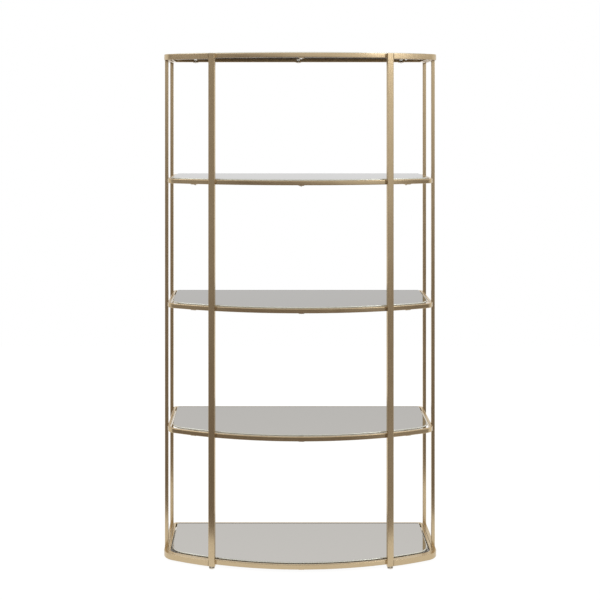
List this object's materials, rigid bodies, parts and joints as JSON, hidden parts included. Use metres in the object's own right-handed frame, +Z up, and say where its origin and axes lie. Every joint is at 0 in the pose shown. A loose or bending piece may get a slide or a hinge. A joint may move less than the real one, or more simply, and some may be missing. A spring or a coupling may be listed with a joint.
{
  "type": "shelving unit",
  "caption": "Tall open shelving unit with a bowed front, slim metal tube frame and glass shelves on clear bumpers.",
  "frame": {"origin": "on the floor, under the middle of the plan", "axes": "+Z up, -Y towards the bowed front, +X to the right seen from the front"},
  "size_m": [1.0232, 0.405, 1.8775],
  "materials": {
    "champagne_metal": "satin champagne gold",
    "shelf_glass": "polished, pale warm grey",
    "clear_vinyl": "clear soft vinyl",
    "insert_nylon": "black moulded nylon",
    "foot_plating": "brown satin plating"
  },
  "bodies": {
    "frame": {"bottom_left_rail": "champagne_metal", "bottom_right_rail": "champagne_metal", "top_left_rail": "champagne_metal", "top_right_rail": "champagne_metal", "front_left_post": "champagne_metal", "front_right_post": "champagne_metal", "corner_left_post": "champagne_metal", "corner_right_post": "champagne_metal", "back_left_post": "champagne_metal", "back_right_post": "champagne_metal", "shelf_1_rim": "champagne_metal", "shelf_2_rim": "champagne_metal", "shelf_3_rim": "champagne_metal", "shelf_4_rim": "champagne_metal", "shelf_5_rim": "champagne_metal", "shelf_1_glass": "shelf_glass", "shelf_2_glass": "shelf_glass", "shelf_3_glass": "shelf_glass", "shelf_4_glass": "shelf_glass", "shelf_5_glass": "shelf_glass", "shelf_1_bumper_front_left": "clear_vinyl", "shelf_1_bumper_front_centre": "clear_vinyl", "shelf_1_bumper_front_right": "clear_vinyl", "shelf_1_bumper_back_left": "clear_vinyl", "shelf_1_bumper_back_centre": "clear_vinyl", "shelf_1_bumper_back_right": "clear_vinyl", "shelf_2_bumper_front_left": "clear_vinyl", "shelf_2_bumper_front_centre": "clear_vinyl", "shelf_2_bumper_front_right": "clear_vinyl", "shelf_2_bumper_back_left": "clear_vinyl", "shelf_2_bumper_back_centre": "clear_vinyl", "shelf_2_bumper_back_right": "clear_vinyl", "shelf_3_bumper_front_left": "clear_vinyl", "shelf_3_bumper_front_centre": "clear_vinyl", "shelf_3_bumper_front_right": "clear_vinyl", "shelf_3_bumper_back_left": "clear_vinyl", "shelf_3_bumper_back_centre": "clear_vinyl", "shelf_3_bumper_back_right": "clear_vinyl", "shelf_4_bumper_front_left": "clear_vinyl", "shelf_4_bumper_front_centre": "clear_vinyl", "shelf_4_bumper_front_right": "clear_vinyl", "shelf_4_bumper_back_left": "clear_vinyl", "shelf_4_bumper_back_centre": "clear_vinyl", "shelf_4_bumper_back_right": "clear_vinyl", "shelf_5_bumper_front_left": "clear_vinyl", "shelf_5_bumper_front_centre": "clear_vinyl", "shelf_5_bumper_front_right": "clear_vinyl", "shelf_5_bumper_back_left": "clear_vinyl", "shelf_5_bumper_back_centre": "clear_vinyl", "shelf_5_bumper_back_right": "clear_vinyl", "front_left_insert": "insert_nylon", "front_right_insert": "insert_nylon"},
    "front_left_foot_body": {"front_left_foot": "foot_plating"},
    "front_right_foot_body": {"front_right_foot": "foot_plating"},
    "back_left_foot_body": {"back_left_foot": "foot_plating"},
    "back_right_foot_body": {"back_right_foot": "foot_plating"}
  },
  "joints": [
    {"name": "front_left_foot_level", "type": "slide", "parent": "frame", "child": "front_left_foot_body", "axis": [0, 0, -1], "range_m": [0, 0.008]},
    {"name": "front_right_foot_level", "type": "slide", "parent": "frame", "child": "front_right_foot_body", "axis": [0, 0, -1], "range_m": [0, 0.008]},
    {"name": "back_left_foot_level", "type": "slide", "parent": "frame", "child": "back_left_foot_body", "axis": [0, 0, -1], "range_m": [0, 0.008]},
    {"name": "back_right_foot_level", "type": "slide", "parent": "frame", "child": "back_right_foot_body", "axis": [0, 0, -1], "range_m": [0, 0.008]}
  ]
}
